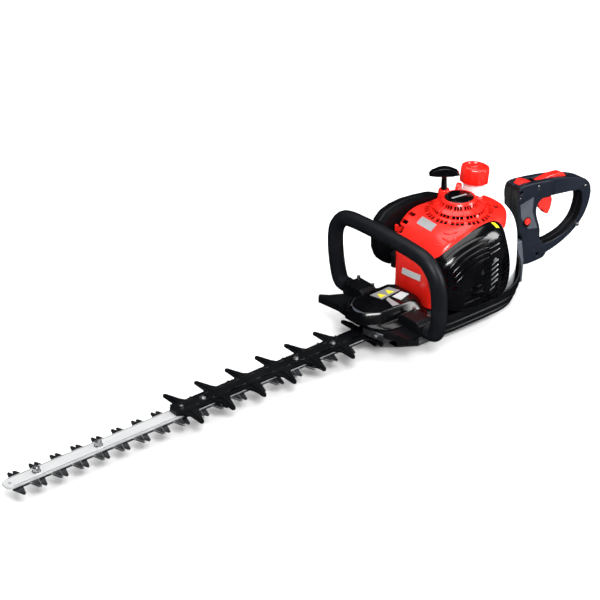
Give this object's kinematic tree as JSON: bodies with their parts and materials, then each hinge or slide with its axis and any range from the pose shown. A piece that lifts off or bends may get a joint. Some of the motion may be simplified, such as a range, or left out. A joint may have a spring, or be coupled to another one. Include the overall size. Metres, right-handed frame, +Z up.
{
  "type": "hedge trimmer",
  "caption": "Double-sided petrol hedge trimmer with reciprocating toothed blades, an engine with a pull starter, an arched front handle and a swivelling rear handle.",
  "frame": {"origin": "on the ground under the middle of the tool's box", "axes": "+X from the blade tip to the rear handle, +Y towards the air cleaner, +Z up"},
  "size_m": [1.1402, 0.2716, 0.2485],
  "materials": {
    "blade_steel": "stamped steel with ground flanks",
    "bar_aluminium": "pale anodised aluminium",
    "zinc_steel": "zinc-plated steel",
    "machined_steel": "machined steel",
    "black_steel": "black powder coat",
    "cast_aluminium": "as-cast aluminium",
    "black_plastic": "moulded black nylon",
    "gloss_black_plastic": "glossy black plastic",
    "dark_plastic": "moulded dark grey nylon",
    "grey_plastic": "moulded blue-grey nylon",
    "red_plastic": "glossy orange-red plastic",
    "tank_plastic": "translucent white polyethylene",
    "clear_plastic": "clear soft plastic",
    "foam_rubber": "closed-cell foam",
    "black_rubber": "moulded rubber",
    "filter_foam": "open-cell filter foam",
    "rope": "braided starter rope"
  },
  "bodies": {
    "frame": {"air_cleaner_case": "black_plastic", "air_cleaner_cover": "black_plastic", "air_filter": "filter_foam", "bar_bolts": "zinc_steel", "base_tray": "black_plastic", "blade_bolts": "zinc_steel", "blade_nuts": "zinc_steel", "carburettor": "cast_aluminium", "crankcase": "cast_aluminium", "cylinder": "cast_aluminium", "fuel_tank": "tank_plastic", "gear_case": "cast_aluminium", "gear_case_lid": "cast_aluminium", "guard_cover": "gloss_black_plastic", "guide_bar": "bar_aluminium", "hand_guard": "black_plastic", "handle_bolts": "zinc_steel", "handle_brackets": "black_plastic", "handle_grip": "foam_rubber", "handle_tube": "black_steel", "ignition_coil": "black_plastic", "intake_spacer": "black_plastic", "lid_screws": "zinc_steel", "muffler": "machined_steel", "muffler_cover": "gloss_black_plastic", "pinion_bearing": "machined_steel", "piston": "cast_aluminium", "rear_bracket": "grey_plastic", "spark_plug": "zinc_steel", "spark_plug_boot": "black_rubber", "starter_badge": "gloss_black_plastic", "starter_cover": "red_plastic", "tooth_guard": "black_plastic", "tooth_guard_screw": "zinc_steel", "vibration_mounts": "black_rubber"},
    "upper_blade": {"upper_blade": "blade_steel"},
    "lower_blade": {"lower_blade": "blade_steel"},
    "blade_crank": {"crank_gear": "machined_steel", "blade_eccentric": "machined_steel", "crank_axle": "machined_steel"},
    "pinion": {"pinion": "machined_steel", "clutch_drum": "machined_steel"},
    "engine_shaft": {"crankshaft": "machined_steel", "flywheel": "cast_aluminium", "clutch_shoes": "machined_steel"},
    "starter_pulley": {"starter_pulley": "black_plastic"},
    "starter_grip": {"starter_grip": "gloss_black_plastic", "starter_rope": "rope"},
    "choke_lever": {"choke_lever": "red_plastic"},
    "primer_bulb": {"primer_bulb": "clear_plastic"},
    "fuel_cap": {"fuel_cap": "red_plastic"},
    "air_cleaner_knob": {"air_cleaner_knob": "black_plastic"},
    "rear_handle": {"rear_handle_left": "dark_plastic", "rear_handle_right": "dark_plastic", "rear_handle_screws": "zinc_steel", "control_pins": "machined_steel"},
    "trigger": {"trigger": "red_plastic"},
    "lock_lever": {"lock_lever": "red_plastic"},
    "ignition_switch": {"ignition_switch": "red_plastic"},
    "swivel_button": {"swivel_button": "red_plastic"}
  },
  "joints": [
    {"name": "blade_crank_turn", "type": "hinge", "parent": "frame", "child": "blade_crank", "pos_m": [0.24335, 0, 0.039], "axis": [0, 0, 1], "range_deg": [-40, 120]},
    {"name": "upper_blade_slide", "type": "slide", "parent": "frame", "child": "upper_blade", "axis": [1, 0, 0], "range_m": [-0.01314, 0.00439]},
    {"name": "lower_blade_slide", "type": "slide", "parent": "frame", "child": "lower_blade", "axis": [1, 0, 0], "range_m": [-0.00439, 0.01314]},
    {"name": "pinion_turn", "type": "hinge", "parent": "frame", "child": "pinion", "pos_m": [0.28, 0, 0.06], "axis": [0, 0, 1], "range_deg": [-461, 154]},
    {"name": "engine_turn", "type": "hinge", "parent": "frame", "child": "engine_shaft", "pos_m": [0.28, 0, 0.12], "axis": [0, 0, 1], "continuous": true},
    {"name": "starter_pull", "type": "slide", "parent": "frame", "child": "starter_grip", "axis": [0, 0, 1], "range_m": [0, 0.09], "stiffness_N_per_m": 40, "springref_m": -0.1, "deforming": ["starter_rope"]},
    {"name": "starter_pulley_turn", "type": "hinge", "parent": "frame", "child": "starter_pulley", "pos_m": [0.28, 0, 0.181], "axis": [0, 0, 1], "range_deg": [0, 207]},
    {"name": "choke_turn", "type": "hinge", "parent": "frame", "child": "choke_lever", "pos_m": [0.213, 0.05, 0.156], "axis": [0, 0, 1], "range_deg": [0, 40]},
    {"name": "primer_press", "type": "slide", "parent": "frame", "child": "primer_bulb", "axis": [0, 0, -1], "range_m": [0, 0.0035], "stiffness_N_per_m": 800, "springref_m": -0.0005},
    {"name": "fuel_cap_turn", "type": "hinge", "parent": "frame", "child": "fuel_cap", "pos_m": [0.34, 0.034, 0.18], "axis": [0.14, 0, 0.9901], "range_deg": [0, 540]},
    {"name": "air_cleaner_knob_turn", "type": "hinge", "parent": "frame", "child": "air_cleaner_knob", "pos_m": [0.222, 0.095, 0.14], "axis": [0, 1, 0], "range_deg": [0, 720]},
    {"name": "rear_handle_swivel", "type": "hinge", "parent": "frame", "child": "rear_handle", "pos_m": [0.42, 0, 0.066], "axis": [1, 0, 0], "range_deg": [-90, 90]},
    {"name": "trigger_squeeze", "type": "hinge", "parent": "rear_handle", "child": "trigger", "pos_m": [0.455, 0, 0.16], "axis": [0, -1, 0], "range_deg": [0, 16], "stiffness_Nm_per_rad": 0.3, "springref_deg": -11.46},
    {"name": "lock_lever_press", "type": "hinge", "parent": "rear_handle", "child": "lock_lever", "pos_m": [0.45, 0, 0.179], "axis": [0, 1, 0], "range_deg": [0, 7], "stiffness_Nm_per_rad": 0.4, "springref_deg": -11.46},
    {"name": "ignition_switch_slide", "type": "slide", "parent": "rear_handle", "child": "ignition_switch", "axis": [1, 0, 0], "range_m": [0, 0.006]},
    {"name": "swivel_button_press", "type": "slide", "parent": "rear_handle", "child": "swivel_button", "axis": [0, 1, 0], "range_m": [0, 0.003], "stiffness_N_per_m": 1500, "springref_m": -0.001}
  ],
  "couplings": [
    {"joint": "upper_blade_slide", "follows": "blade_crank_turn", "m_per_rad": -0.0062667},
    {"joint": "lower_blade_slide", "follows": "blade_crank_turn", "m_per_rad": 0.0062667},
    {"joint": "pinion_turn", "follows": "blade_crank_turn", "ratio": -3.8333},
    {"joint": "starter_pulley_turn", "follows": "starter_pull", "rad_per_m": 40}
  ]
}
